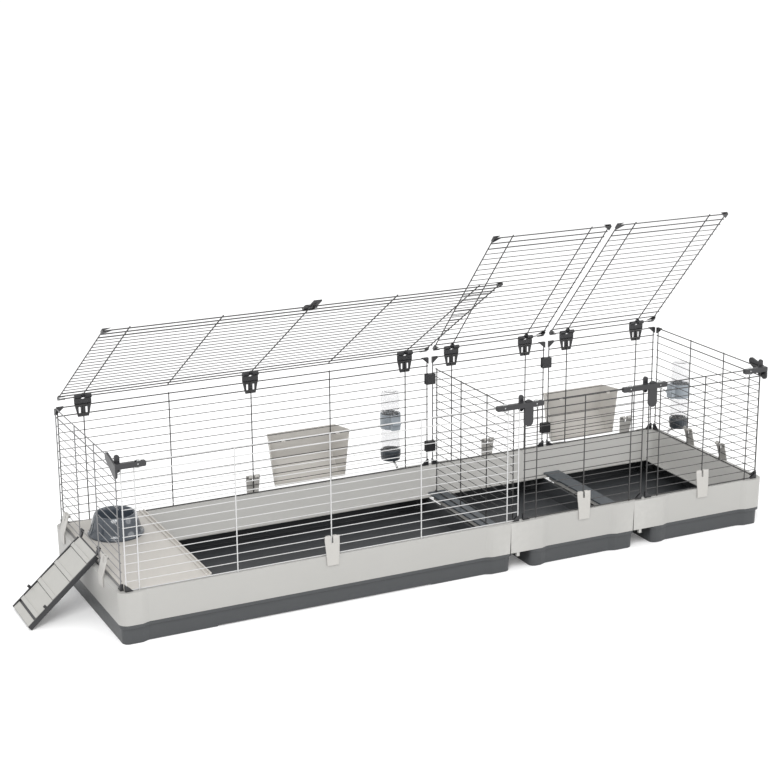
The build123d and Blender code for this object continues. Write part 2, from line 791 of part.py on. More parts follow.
# Turning knobs: a clear disc in each slot, on a pin across the arm, with a finger slit
knob_places = {
    "knob_left_end": left_wall + end_arm_knob,
    "knob_middle_1_left": junctions[0] - long_arm_knob,
    "knob_middle_1_right": junctions[0] + short_arm_knob,
    "knob_middle_2_left": junctions[1] - long_arm_knob,
    "knob_middle_2_right": junctions[1] + short_arm_knob,
    "knob_right_end": right_wall - end_arm_knob,
}
for name, x in knob_places.items():
    with BuildPart() as knob:
        with BuildSketch(outward(arm_middle - knob_thickness / 2)):
            with Locations((x, arm_level)):
                RegularPolygon(knob_radius, knob_sides)
                with Locations((-knob_radius / 2, knob_radius / 2)):
                    Rectangle(knob_radius / 2, knob_thickness / 2, rotation=-45, mode=Mode.SUBTRACT)
        extrude(amount=knob_thickness)
        with BuildSketch(outward(strong + knob_clearance)):
            with Locations((x, arm_level)):
                RegularPolygon(pin_radius, barrel_sides)
        extrude(amount=arm_depth - 2 * knob_clearance)
    export(knob, name)

# Latch on the large roof: a body on the cross wire and a lever that turns about the edge wire
latch_roof = roof_plane(roof_ends[0], large_roof_open)
latch_along = roof_ends[0] - latch_column
edge_along = strong_corner + roof_depth
latch_start = edge_along - latch_gap - latch_length
with BuildPart() as roof_latch_body:
    with BuildSketch(latch_roof.offset(-strong)):
        with Locations((latch_along, latch_start + latch_length / 2)):
            RectangleRounded(latch_width, latch_length, lever_thickness)
    extrude(amount=latch_height)
    with BuildSketch(latch_roof.offset(-strong)):
        with Locations((latch_along, latch_start + latch_length / 2)):
            Rectangle(2 * (strong_corner + cap_clearance), 2 * latch_length)
    extrude(amount=strong_wire, mode=Mode.SUBTRACT)
export(roof_latch_body, "roof_latch_body")

lever_section = Plane(origin=latch_roof.from_local_coords((latch_along, edge_along, -strong_layer)),
                      x_dir=latch_roof.y_dir, z_dir=latch_roof.x_dir)
with BuildPart() as roof_latch_lever:
    with BuildSketch(lever_section):
        RegularPolygon(barrel_radius, barrel_sides)
        with Locations((lever_length / 2, 0)):
            Rectangle(lever_length, lever_thickness)
        RegularPolygon(barrel_bore, bore_sides, major_radius=False, mode=Mode.SUBTRACT)
    extrude(amount=lever_width / 2, both=True)
    with BuildSketch(lever_section):
        Rectangle(4 * barrel_radius, 4 * barrel_radius)
    extrude(amount=lever_gap / 2, both=True, mode=Mode.SUBTRACT)
export(roof_latch_lever, "roof_latch_lever")


def clip_section(panel, along, drop):
    """Plane across a wall at a clip, with its origin on the wire it hangs from: (outward, up)."""
    wire = panel.from_local_coords((along, row_level(clip_row), -thin_layer))
    return Plane(origin=wire, x_dir=panel.z_dir, z_dir=-panel.x_dir)


def panel_clip(panel, along, face):
    """Swinging clip: two eyes on a wire, and a strip over the rim and down the skirt."""
    bore = thin_corner + clip_clearance
    radius = bore + clip_eye_wall
    root = thin_layer + strong + clip_clearance
    rim = -row_level(clip_row) + clip_clearance
    lip = thin_layer + face + clip_clearance
    foot = -row_level(clip_row) - clip_foot_drop
    section = clip_section(panel, along, foot)
    with BuildPart() as clip:
        with BuildSketch(section):
            with BuildLine():
                Polyline((root, radius), (root, -radius), (lip, rim + clip_strip), (lip, foot),
                         (lip + clip_strip, foot), (lip + clip_strip, rim + clip_strip),
                         (root + clip_strip, -radius), (root + clip_strip, radius), close=True)
            make_face()
        extrude(amount=clip_width / 2, both=True)
        with BuildSketch(section):
            RegularPolygon(radius, eye_sides)
            with Locations((root / 2, 0)):
                Rectangle(root, radius)
            RegularPolygon(bore, bore_sides, major_radius=False, mode=Mode.SUBTRACT)
        extrude(amount=clip_slot / 2 + clip_eye_width, both=True)
        with BuildSketch(section):
            with Locations((0, radius - clip_slot_height / 2)):
                Rectangle(4 * clip_width, clip_slot_height)
        extrude(amount=clip_slot / 2, both=True, mode=Mode.SUBTRACT)
        with BuildSketch(panel.offset(-clip_width)):
            with BuildLine():
                Polyline((along - clip_width / 2, row_level(clip_row) + 2 * radius),
                         (along - clip_width / 2, row_level(clip_row) - 2 * radius),
                         (along - clip_foot_width / 2, -clip_foot_drop - clip_strip),
                         (along + clip_foot_width / 2, -clip_foot_drop - clip_strip),
                         (along + clip_width / 2, row_level(clip_row) - 2 * radius),
                         (along + clip_width / 2, row_level(clip_row) + 2 * radius), close=True)
            make_face()
        extrude(amount=3 * clip_width, mode=Mode.INTERSECT)
    return clip


recessed_face = rim_overhang - recess_depth
for number, place in enumerate(front_clip_places, 1):
    export(panel_clip(front_plane(0), place, recessed_face), f"panel_clip_front_{number}")
for number, place in enumerate(rear_clip_places, 1):
    export(panel_clip(rear_plane(0), -place, recessed_face), f"panel_clip_rear_{number}")
for number, place in enumerate(left_clip_places, 1):
    export(panel_clip(left_plane(0), -place, rim_overhang), f"panel_clip_left_{number}")
for number, place in enumerate(right_clip_places, 1):
    export(panel_clip(right_plane(0), place, rim_overhang), f"panel_clip_right_{number}")


def wall_hook(panel, along, width, row, root):
    """Hook that reaches in over a thin wire and down behind it."""
    level = row_level(row) + thin_corner
    inner = thin_layer + thin + cap_clearance
    with BuildPart() as hook:
        with BuildSketch(panel.offset(root)):
            with Locations((along, level + hook_wall / 2)):
                Rectangle(width, hook_wall)
        extrude(amount=-root - inner - hook_wall)
        with BuildSketch(panel.offset(-inner)):
            with Locations((along, level + hook_wall - hook_drop / 2)):
                Rectangle(width, hook_drop)
        extrude(amount=-hook_wall)
    return hook.part


# Hay racks on the rear wall: tapered bins, open at the top and toward the wires
def rack_plan(panel, along, level, depth, inset):
    """Plan of a rack at one level, narrower away from the wires."""
    share = (level - rack_bottom) / (rack_top - rack_bottom)
    half = (rack_bottom_width + (rack_top_width - rack_bottom_width) * share) / 2 - inset
    plan = Plane(origin=panel.from_local_coords((along, level, 0)), x_dir=panel.x_dir, z_dir=(0, 0, 1))
    near = strong + clip_clearance - 2 * inset
    far = depth - inset
    front = half - rack_taper * near / rack_depth
    back = half - rack_taper * far / rack_depth
    with BuildSketch(plan) as outline:
        with BuildLine():
            Polyline((-front, -near), (front, -near), (back, -far), (-back, -far), close=True)
        make_face()
    return outline.sketch


def rack_body(panel, along, inset):
    levels = ((rack_top + inset, rack_depth), (rack_kink, rack_depth), (rack_bottom + inset, rack_foot_depth))
    sections = [rack_plan(panel, along, level, depth, inset) for level, depth in levels]
    with BuildPart() as body:
        loft(sections[:2], ruled=True)
        loft(sections[1:], ruled=True)
    return body.part


for number, place in enumerate(rack_places, 1):
    panel = rear_plane(0)
    with BuildPart() as rack:
        add(rack_body(panel, -place, 0))
        add(rack_body(panel, -place, rack_wall), mode=Mode.SUBTRACT)
        for side in (-1, 1):
            add(wall_hook(panel, side * rack_hook_spacing / 2 - place, rack_hook_width, rack_hook_row + 1,
                          strong + clip_clearance + rack_wall))
    export(rack, f"hay_rack_{number}")

# Water bottles: holder on the wires, inverted bottle, screw cap, and spout with a ball in its mouth
bottle_planes = ((rear_plane(0), -rear_bottle_place), (right_plane(0), right_bottle_place))


def bottle_axis(panel, along, level):
    return Plane(origin=panel.from_local_coords((along, level, bottle_standoff)), x_dir=panel.z_dir,
                 z_dir=(0, 0, 1))


with BuildPart() as bottle_holders:
    for panel, along in bottle_planes:
        holder_radius = bottle_radius + holder_clearance + holder_wall
        with BuildSketch(bottle_axis(panel, along, holder_level - holder_height / 2)):
            RegularPolygon(holder_radius, bottle_sides)
            with Locations((-(bottle_standoff + strong) / 2, 0)):
                Rectangle(bottle_standoff + strong, bottle_radius)
            RegularPolygon(bottle_radius + holder_clearance, bottle_sides, major_radius=False,
                           mode=Mode.SUBTRACT)
        extrude(amount=holder_height)
        add(wall_hook(panel, along, bottle_radius, rack_hook_row + 1, bottle_standoff - holder_radius))
export(bottle_holders, "bottle_holders")

for number, (panel, along) in enumerate(bottle_planes, 1):
    axis = bottle_axis(panel, along, 0)
    crown = bottle_bottom + bottle_height
    with BuildPart() as bottle:
        for inset, mode in ((0, Mode.ADD), (bottle_wall, Mode.SUBTRACT)):
            with BuildSketch(axis.offset(bottle_bottom + inset)):
                RegularPolygon(bottle_radius - inset, bottle_sides)
            extrude(amount=bottle_height - bottle_round - inset, mode=mode)
            with BuildSketch(axis.offset(crown - bottle_round)):
                RegularPolygon(bottle_radius - inset, bottle_sides)
            with BuildSketch(axis.offset(crown - inset)):
                RegularPolygon(bottle_radius - bottle_round, bottle_sides)
            loft(ruled=True, mode=mode)
            with BuildSketch(axis.offset(bottle_bottom + 2 * inset)):
                RegularPolygon(neck_radius - inset, bottle_sides)
            extrude(amount=-neck_length - 2 * inset, mode=mode)
    export(bottle, f"bottle_{number}")
    with BuildPart() as bottle_cap:
        with BuildSketch(axis.offset(bottle_bottom - cap_height)):
            RegularPolygon(cap_radius, bottle_sides)
        extrude(amount=cap_height)
        with BuildSketch(axis.offset(bottle_bottom)):
            RegularPolygon(neck_radius + cap_clearance, bottle_sides, major_radius=False)
        extrude(amount=-neck_length - bottle_wall, mode=Mode.SUBTRACT)
        spout_direction = axis.x_dir * -cos(radians(spout_tilt)) + Vector(0, 0, -sin(radians(spout_tilt)))
        spout_root = Plane(origin=axis.origin + Vector(0, 0, spout_level), z_dir=spout_direction)
        with BuildSketch(spout_root):
            RegularPolygon(spout_radius, barrel_sides)
        extrude(amount=spout_reach, mode=Mode.SUBTRACT)
    export(bottle_cap, f"bottle_cap_{number}")
    with BuildPart() as bottle_spout:
        with BuildSketch(spout_root):
            RegularPolygon(spout_radius, barrel_sides)
            RegularPolygon(spout_bore, bore_sides, mode=Mode.SUBTRACT)
        extrude(amount=spout_reach)
        with BuildSketch(spout_root.offset(spout_reach - 2 * ball_radius)):
            RegularPolygon(spout_bore, bore_sides)
        extrude(amount=ball_radius)
    export(bottle_spout, f"bottle_spout_{number}")

# Food bowl on the shelf, wide at its base so that it does not tip
shelf_top = rim_height + shelf_thickness
bowl_place = Vector(left_wall + bowl_from_left, front_wall + bowl_from_front, shelf_top)
bowl_floor = bowl_height - bowl_depth
bowl_levels = ((0, bowl_base_radius), (bowl_skirt, bowl_base_radius), (2 * bowl_skirt, bowl_waist_radius),
               (bowl_height, bowl_top_radius))
hollow_levels = ((bowl_floor, bowl_top_radius - 3 * bowl_wall),
                 (bowl_floor + bowl_wall, bowl_top_radius - 2 * bowl_wall),
                 (bowl_height, bowl_top_radius - bowl_wall))
with BuildPart() as bowl:
    for levels, mode in ((bowl_levels, Mode.ADD), (hollow_levels, Mode.SUBTRACT)):
        for lower, upper in zip(levels, levels[1:]):
            for level, radius in (lower, upper):
                with BuildSketch(Plane(bowl_place).offset(level)):
                    RegularPolygon(radius, bowl_sides)
            loft(ruled=True, mode=mode)
export(bowl, "bowl")

# Ramp: hangs from the sill wire of the doorway, turns about it, and rests on the floor
hinge_height = rim_height + row_level(door_sill_row)
ramp_hinge = Vector(left_wall + thin_layer, 0, hinge_height)
ramp_reach = sqrt(ramp_length ** 2 + ramp_bottom ** 2)
ramp_fall = asin((hinge_height - ramp_floor_clearance) / ramp_reach)
ramp_angle = degrees(ramp_fall - atan2(ramp_bottom, ramp_length))
down = Vector(-cos(radians(ramp_angle)), 0, -sin(radians(ramp_angle)))
face_normal = Vector(-sin(radians(ramp_angle)), 0, cos(radians(ramp_angle)))
ramp_plane = Plane(origin=ramp_hinge, x_dir=down, z_dir=face_normal)
board_width = ramp_width - 2 * ramp_rail
board_start = ramp_hook_width
with BuildPart() as ramp_board:
    with BuildSketch(ramp_plane.offset(-ramp_face_drop)):
        with Locations(((board_start + ramp_length) / 2, 0)):
            Rectangle(ramp_length - board_start, board_width)
    extrude(amount=-ramp_board_wall)
    with BuildSketch(ramp_plane.offset(-ramp_face_drop)):
        with Locations(*[(ramp_first_rib + rib * ramp_rib_pitch, 0) for rib in range(ramp_ribs)]):
            Rectangle(ramp_rib_width, board_width)
    extrude(amount=ramp_rib)
export(ramp_board, "ramp_board")

rail_middle = (ramp_width - ramp_rail) / 2
with BuildPart() as ramp_rails:
    with BuildSketch(ramp_plane.offset(ramp_rib - ramp_face_drop)):
        with Locations(((ramp_length + ramp_rail_start) / 2, -rail_middle),
                       ((ramp_length + ramp_rail_start) / 2, rail_middle)):
            Rectangle(ramp_length - ramp_rail_start, ramp_rail)
    extrude(amount=-ramp_rail_depth)
    with BuildSketch(ramp_plane.offset(ramp_rib - ramp_face_drop)):
        with Locations((ramp_catch_reach, -rail_middle), (ramp_catch_reach, rail_middle)):
            Rectangle(2 * ramp_rib, ramp_rail)
    extrude(amount=ramp_catch)
export(ramp_rails, "ramp_rails")

hook_bore = thin_corner + clip_clearance
hook_radius = hook_bore + ramp_hook_wall
hook_middle = (ramp_width - ramp_hook_width) / 2
with BuildPart() as ramp_hooks:
    for side in (-1, 1):
        hook_plane = Plane(origin=ramp_hinge + Vector(0, side * hook_middle, 0), x_dir=down, z_dir=(0, 1, 0))
        with BuildSketch(hook_plane):
            RegularPolygon(hook_radius, barrel_sides)
            with BuildLine():
                Polyline((-hook_bore, 0), (0, -hook_radius), (board_start, -ramp_face_drop - ramp_board_wall),
                         (board_start, ramp_rib - ramp_face_drop), (hook_bore, 0), close=True)
            make_face()
            RegularPolygon(hook_bore, bore_sides, major_radius=False, mode=Mode.SUBTRACT)
            with Locations((0, hook_radius)):
                Rectangle(2 * thin_corner, 2 * hook_radius, mode=Mode.SUBTRACT)
        extrude(amount=ramp_hook_width / 2, both=True)
export(ramp_hooks, "ramp_hooks")
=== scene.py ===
"""Looks of a modular rabbit cage: wire panels, base, trays, fittings and accessories."""
import json
import math

import bmesh
import bpy
import numpy as np
from mathutils import Matrix, Vector


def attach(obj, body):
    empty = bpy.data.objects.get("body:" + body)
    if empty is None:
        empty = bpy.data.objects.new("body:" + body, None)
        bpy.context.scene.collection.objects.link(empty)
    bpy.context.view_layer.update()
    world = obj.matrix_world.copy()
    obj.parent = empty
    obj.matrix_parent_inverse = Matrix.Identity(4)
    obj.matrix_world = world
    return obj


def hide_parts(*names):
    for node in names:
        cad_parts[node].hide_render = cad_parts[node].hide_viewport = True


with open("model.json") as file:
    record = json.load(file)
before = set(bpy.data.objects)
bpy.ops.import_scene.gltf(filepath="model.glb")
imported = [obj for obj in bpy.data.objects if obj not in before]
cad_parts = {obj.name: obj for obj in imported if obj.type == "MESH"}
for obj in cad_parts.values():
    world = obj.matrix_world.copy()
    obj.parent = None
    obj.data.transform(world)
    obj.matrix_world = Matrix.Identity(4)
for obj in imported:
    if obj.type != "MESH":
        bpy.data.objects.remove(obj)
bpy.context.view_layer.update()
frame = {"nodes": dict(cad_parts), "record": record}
BODY_OF = {}
for body_name, node_names in frame["record"]["behaviour"]["bodies"].items():
    for node_name in node_names:
        BODY_OF[node_name] = body_name
SLOT_OF = {part["node"]: part["material_slot"] for part in frame["record"]["subparts"]}
MM = 0.001

# Sizes of the construction, in millimetres, as in the part's own source
LARGE, SMALL, DEPTH = 1196.0, 420.0, 572.0
LENGTH = LARGE + 2 * SMALL
LEFT, RIGHT, FRONT, REAR = -LENGTH / 2, LENGTH / 2, -DEPTH / 2, DEPTH / 2
STRONG, THIN, WELD = 1.7, 1.1, 0.05
CORNER = STRONG / math.cos(math.radians(30))
THIN_LAYER = STRONG + WELD + THIN
STRONG_LAYER = 2 * STRONG + WELD
PITCH, WALL_ROWS, PARTITION_ROWS, ROOF_ROWS = 24.8, 14, 16, 22
RIM = 148.0
WALL_TOP = RIM + WALL_ROWS * PITCH + 2 * CORNER
HINGE_LEVEL = WALL_TOP + 22.0
STARTS = (0.0, LARGE, LARGE + SMALL)
ENDS = (LARGE, LARGE + SMALL, LENGTH)
FRONT_COLUMNS = ((46, 322, 598, 874, 1150), (50, 210, 370), (50, 210, 370))
REAR_COLUMNS = ((86, 342, 598, 854, 1110), (77, 343), (77, 343))
END_COLUMNS = (198, 374)
PANEL_END_GAP = 8.0
END_PANEL_INSET = 12.0
PARTITION_FOOT = 74.0
PARTITION_INSET = 44.0
PARTITION_CLEARANCE = 3.0
SILL_ROW, LINTEL_ROW = 2, 9
ROOF_DEPTH = 562.0
ROOF_END_GAP = 13.0
OPENINGS = (("large", 33.0), ("small_1", 48.0), ("small_2", 48.0))
BEAD_RADIUS, BEAD_FLAT = 0.95, 0.7
SHELF_THICKNESS = 4.0


# Materials
def new_group(name, inputs, outputs):
    """An empty shader node group with the given sockets."""
    group = bpy.data.node_groups.new(name, "ShaderNodeTree")
    for label, kind, value in inputs:
        socket = group.interface.new_socket(label, in_out="INPUT", socket_type=kind)
        socket.default_value = value
    for label, kind in outputs:
        group.interface.new_socket(label, in_out="OUTPUT", socket_type=kind)
    return group


def math_node(tree, operation, first, second, clamp=False):
    """A math node whose inputs are sockets or numbers."""
    node = tree.nodes.new("ShaderNodeMath")
    node.operation = operation
    node.use_clamp = clamp
    for place, value in enumerate((first, second)):
        if isinstance(value, (int, float)):
            node.inputs[place].default_value = value
        else:
            tree.links.new(value, node.inputs[place])
    return node.outputs[0]


def centred(tree, value):
    """A noise value moved so that its middle is zero."""
    return math_node(tree, "SUBTRACT", value, 0.5)


def noise_node(tree, vector, scale, detail, roughness=0.55):
    """A noise texture on object coordinates."""
    node = tree.nodes.new("ShaderNodeTexNoise")
    node.inputs["Scale"].default_value = scale
    node.inputs["Detail"].default_value = detail
    node.inputs["Roughness"].default_value = roughness
    tree.links.new(vector, node.inputs["Vector"])
    return node.outputs["Fac"]


def moulded_group():
    """Injection-moulded plastic: spark-eroded grain, faint flow clouds, and paler rubbed edges."""
    group = new_group(
        "moulded plastic",
        [("Color", "NodeSocketColor", (0.5, 0.5, 0.5, 1)), ("Grain", "NodeSocketFloat", 900.0),
         ("Relief", "NodeSocketFloat", 0.25), ("Roughness", "NodeSocketFloat", 0.45),
         ("Clouds", "NodeSocketFloat", 0.06), ("Wear", "NodeSocketFloat", 0.25)],
        [("Color", "NodeSocketColor"), ("Roughness", "NodeSocketFloat"), ("Normal", "NodeSocketVector")])
    source = group.nodes.new("NodeGroupInput")
    target = group.nodes.new("NodeGroupOutput")
    place = group.nodes.new("ShaderNodeTexCoord").outputs["Object"]
    geometry = group.nodes.new("ShaderNodeNewGeometry")
    clouds = noise_node(group, place, 7.0, 4.0)
    streaks = noise_node(group, place, 60.0, 3.0)
    cells = group.nodes.new("ShaderNodeTexVoronoi")
    group.links.new(place, cells.inputs["Vector"])
    group.links.new(source.outputs["Grain"], cells.inputs["Scale"])
    fine = group.nodes.new("ShaderNodeTexNoise")
    fine.inputs["Detail"].default_value = 2.0
    group.links.new(place, fine.inputs["Vector"])
    group.links.new(source.outputs["Grain"], fine.inputs["Scale"])
    pits = math_node(group, "MULTIPLY", cells.outputs["Distance"], 0.6)
    grain = math_node(group, "ADD", fine.outputs["Fac"], pits)
    bump = group.nodes.new("ShaderNodeBump")
    bump.inputs["Distance"].default_value = 0.0003
    group.links.new(source.outputs["Relief"], bump.inputs["Strength"])
    group.links.new(grain, bump.inputs["Height"])
    edge = group.nodes.new("ShaderNodeMapRange")
    edge.inputs["From Min"].default_value = 0.52
    edge.inputs["From Max"].default_value = 0.62
    group.links.new(geometry.outputs["Pointiness"], edge.inputs["Value"])
    wear = math_node(group, "MULTIPLY", streaks, source.outputs["Wear"])
    rubbed = math_node(group, "MULTIPLY", edge.outputs[0], wear)
    shade = math_node(group, "MULTIPLY", centred(group, clouds), source.outputs["Clouds"])
    value = math_node(group, "ADD", math_node(group, "ADD", shade, rubbed), 1.0)
    tint = group.nodes.new("ShaderNodeVectorMath")
    tint.operation = "SCALE"
    group.links.new(source.outputs["Color"], tint.inputs[0])
    group.links.new(value, tint.inputs["Scale"])
    unevenness = math_node(group, "MULTIPLY", centred(group, streaks), 0.14)
    rough = math_node(group, "ADD", source.outputs["Roughness"], unevenness, clamp=True)
    group.links.new(tint.outputs[0], target.inputs["Color"])
    group.links.new(rough, target.inputs["Roughness"])
    group.links.new(bump.outputs[0], target.inputs["Normal"])
    return group


def coated_group():
    """Powder or dip coated wire: orange peel, and thin spots that show darker."""
    group = new_group(
        "coated wire",
        [("Color", "NodeSocketColor", (0.1, 0.1, 0.1, 1)), ("Roughness", "NodeSocketFloat", 0.35)],
        [("Color", "NodeSocketColor"), ("Roughness", "NodeSocketFloat"), ("Normal", "NodeSocketVector")])
    source = group.nodes.new("NodeGroupInput")
    target = group.nodes.new("NodeGroupOutput")
    place = group.nodes.new("ShaderNodeTexCoord").outputs["Object"]
    peel = noise_node(group, place, 700.0, 2.0)
    patches = noise_node(group, place, 28.0, 3.0)
    bump = group.nodes.new("ShaderNodeBump")
    bump.inputs["Distance"].default_value = 0.0002
    bump.inputs["Strength"].default_value = 0.35
    group.links.new(peel, bump.inputs["Height"])
    tint = group.nodes.new("ShaderNodeVectorMath")
    tint.operation = "SCALE"
    group.links.new(source.outputs["Color"], tint.inputs[0])
    value = math_node(group, "ADD", math_node(group, "MULTIPLY", centred(group, patches), 0.16), 1.0)
    group.links.new(value, tint.inputs["Scale"])
    unevenness = math_node(group, "MULTIPLY", centred(group, patches), 0.2)
    rough = math_node(group, "ADD", source.outputs["Roughness"], unevenness, clamp=True)
    group.links.new(tint.outputs[0], target.inputs["Color"])
    group.links.new(rough, target.inputs["Roughness"])
    group.links.new(bump.outputs[0], target.inputs["Normal"])
    return group


MOULDED = moulded_group()
COATED = coated_group()


def material_from(name, group, settings, **shader):
    """A material whose colour, roughness and relief come from a shared group; constants sit on the shader."""
    material = bpy.data.materials.new(name)
    material.use_nodes = True
    tree = material.node_tree
    bsdf = tree.nodes["Principled BSDF"]
    node = tree.nodes.new("ShaderNodeGroup")
    node.node_tree = group
    for label, value in settings.items():
        node.inputs[label].default_value = value
    tree.links.new(node.outputs["Color"], bsdf.inputs["Base Color"])
    tree.links.new(node.outputs["Roughness"], bsdf.inputs["Roughness"])
    tree.links.new(node.outputs["Normal"], bsdf.inputs["Normal"])
    for label, value in shader.items():
        bsdf.inputs[label.replace("_", " ")].default_value = value
    return material


def plastic(name, color, grain=900.0, relief=0.25, roughness=0.45, clouds=0.06, wear=0.25, **shader):
    """Moulded plastic of one colour."""
    settings = {"Color": (*color, 1), "Grain": grain, "Relief": relief, "Roughness": roughness,
                "Clouds": clouds, "Wear": wear}
    return material_from(name, MOULDED, settings, **shader)


def wire_coat(name, color, roughness=0.35, **shader):
    """Coating of a wire."""
    return material_from(name, COATED, {"Color": (*color, 1), "Roughness": roughness}, **shader)


MATERIALS = {
    "light_frame_plastic": plastic("light frame", (0.36, 0.355, 0.34), grain=700, relief=0.18,
                                   roughness=0.42),
    "dark_tray_plastic": plastic("dark tray", (0.044, 0.047, 0.050), grain=650, relief=0.3, roughness=0.46,
                                 clouds=0.12, wear=0.5),
    "slate_plastic": plastic("slate", (0.052, 0.062, 0.072), relief=0.25, roughness=0.38, wear=0.5),
    "warm_grey_plastic": plastic("warm grey", (0.46, 0.44, 0.41), grain=600, relief=0.3, roughness=0.5),
    "light_wire": wire_coat("light coat", (0.50, 0.50, 0.50), 0.3),
    "grey_wire": wire_coat("grey coat", (0.16, 0.16, 0.165), 0.32),
    "dark_wire": wire_coat("dark coat", (0.035, 0.034, 0.034), 0.3),
    "black_plastic": plastic("black fittings", (0.018, 0.018, 0.02), grain=1100, relief=0.2, roughness=0.34,
                             wear=0.3),
    "clear_knob_plastic": plastic("clear knob", (0.62, 0.63, 0.63), grain=1400, relief=0.08, roughness=0.14,
                                  Transmission_Weight=0.35, IOR=1.5),
    "light_clip_plastic": plastic("light clip", (0.40, 0.39, 0.37), grain=1000, relief=0.15, roughness=0.36),
    "bluish_grey_plastic": plastic("bluish holder", (0.27, 0.30, 0.33), relief=0.2, roughness=0.36),
    "dark_cap_plastic": plastic("dark cap", (0.035, 0.042, 0.05), grain=1200, relief=0.2, roughness=0.3),
    "spout_steel": plastic("steel spout", (0.62, 0.62, 0.62), grain=1500, relief=0.1, roughness=0.2,
                           wear=0.1, Metallic=1.0),
    "clear_bottle": plastic("clear bottle", (0.925, 0.925, 0.93), grain=300, relief=0.05, roughness=0.08,
                            clouds=0.03, wear=0.0, Transmission_Weight=0.94, IOR=1.3),
    "bowl_plastic": plastic("glossy bowl", (0.045, 0.055, 0.068), grain=1300, relief=0.06, roughness=0.12,
                            Coat_Weight=0.5, Coat_Roughness=0.08),
    "ramp_light_plastic": plastic("ramp boards", (0.38, 0.375, 0.355), grain=700, relief=0.3, roughness=0.45),
    "ramp_dark_plastic": plastic("ramp rails", (0.02, 0.02, 0.022), grain=900, relief=0.25, roughness=0.38,
                                 wear=0.8),
}


# Mesh functions
def smooth_edges(piece, angle=40.0):
    """Smooth shading except across sharp edges."""
    mesh = piece.data
    mesh.shade_smooth()
    mesh.set_sharp_from_angle(angle=math.radians(angle))


def finish_piece(piece, node, replace=True):
    """Gives a piece its body, its record slot and its material."""
    slot = SLOT_OF[node]
    piece.data.materials.clear()
    piece.data.materials.append(MATERIALS[slot])
    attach(piece, BODY_OF[node])
    if replace:
        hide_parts(node)
    return piece


def mesh_piece(name, vertices, faces):
    """An object in metres from vertices in millimetres and a face list."""
    mesh = bpy.data.meshes.new(name)
    mesh.from_pydata((np.asarray(vertices, float) * MM).tolist(), [], faces)
    mesh.validate()
    piece = bpy.data.objects.new(name, mesh)
    bpy.context.scene.collection.objects.link(piece)
    return piece


def softened(node, width, segments=2, angle=30.0):
    """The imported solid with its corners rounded, as a tool leaves them, in place of the sharp node."""
    packed = frame["nodes"][node]
    piece = bpy.data.objects.new(f"{node}_moulded", packed.data.copy())
    bpy.context.scene.collection.objects.link(piece)
    work = bmesh.new()
    work.from_mesh(piece.data)
    bmesh.ops.remove_doubles(work, verts=work.verts, dist=0.00002)
    bmesh.ops.dissolve_limit(work, angle_limit=math.radians(0.8), verts=work.verts, edges=work.edges)
    work.to_mesh(piece.data)
    work.free()
    bevel = piece.modifiers.new("rounding", "BEVEL")
    bevel.width = width * MM
    bevel.segments = segments
    bevel.limit_method = "ANGLE"
    bevel.angle_limit = math.radians(angle)
    bevel.use_clamp_overlap = True
    bevel.harden_normals = False
    smooth_edges(piece)
    return finish_piece(piece, node)


def tube_mesh(starts, ends, radii, sides=12, rounding=0.35):
    """Round wires with softened ends.

    Ring k of a wire from A to B: P(k, t) = A + s_k (B - A)/|B - A| + r_k (cos t U + sin t V), where t runs
    over the sides, U and V are square to the wire, and (s_k, r_k) rounds the two ends:
    (0, 0.6 r), (rounding, r), (L - rounding, r), (L, 0.6 r).
    """
    starts = np.asarray(starts, float)
    ends = np.asarray(ends, float)
    radii = np.broadcast_to(np.asarray(radii, float), (len(starts),))
    along = ends - starts
    length = np.linalg.norm(along, axis=1)
    axis = along / length[:, None]
    helper = np.where(np.abs(axis[:, 2:3]) > 0.9, [[1.0, 0, 0]], [[0, 0, 1.0]])
    u = np.cross(axis, helper)
    u /= np.linalg.norm(u, axis=1)[:, None]
    v = np.cross(axis, u)
    stations = np.stack([np.zeros_like(length), np.full_like(length, rounding), length - rounding, length], 1)
    rings = radii[:, None] * np.array([0.6, 1.0, 1.0, 0.6])
    t = np.linspace(0, 2 * math.pi, sides, endpoint=False)
    around = np.cos(t)[None, :, None] * u[:, None, :] + np.sin(t)[None, :, None] * v[:, None, :]
    points = (starts[:, None, None, :] + stations[:, :, None, None] * axis[:, None, None, :]
              + rings[:, :, None, None] * around[:, None, :, :])
    count, layers = len(starts), 4
    index = np.arange(count * layers * sides).reshape(count, layers, sides)
    following = np.roll(index, -1, axis=2)
    quads = np.stack([index[:, :-1], following[:, :-1], following[:, 1:], index[:, 1:]], -1).reshape(-1, 4)
    caps = [index[:, 0, ::-1].tolist(), index[:, -1, :].tolist()]
    return points.reshape(-1, 3), quads.tolist() + caps[0] + caps[1]


def bead_mesh(centres, radius, flat, sides=6):
    """Weld beads: small flattened spindles at the crossings of the wires.

    P(k, t) = C + flat z_k N + radius r_k (cos t U + sin t V) with (z, r) = (-1, 0.5), (0, 1), (1, 0.5).
    """
    centres, normal, u = (np.asarray(value, float) for value in centres)
    v = np.cross(normal, u)
    t = np.linspace(0, 2 * math.pi, sides, endpoint=False)
    around = np.cos(t)[:, None] * u + np.sin(t)[:, None] * v
    layers = np.array([[-1.0, 0.5], [0.0, 1.0], [1.0, 0.5]])
    shape = flat * layers[:, 0, None, None] * normal + radius * layers[:, 1, None, None] * around[None]
    points = centres[:, None, None, :] + shape[None]
    index = np.arange(points.shape[0] * 3 * sides).reshape(-1, 3, sides)
    following = np.roll(index, -1, axis=2)
    quads = np.stack([index[:, :-1], following[:, :-1], following[:, 1:], index[:, 1:]], -1).reshape(-1, 4)
    return points.reshape(-1, 3), quads.tolist() + index[:, 0, ::-1].tolist() + index[:, -1].tolist()


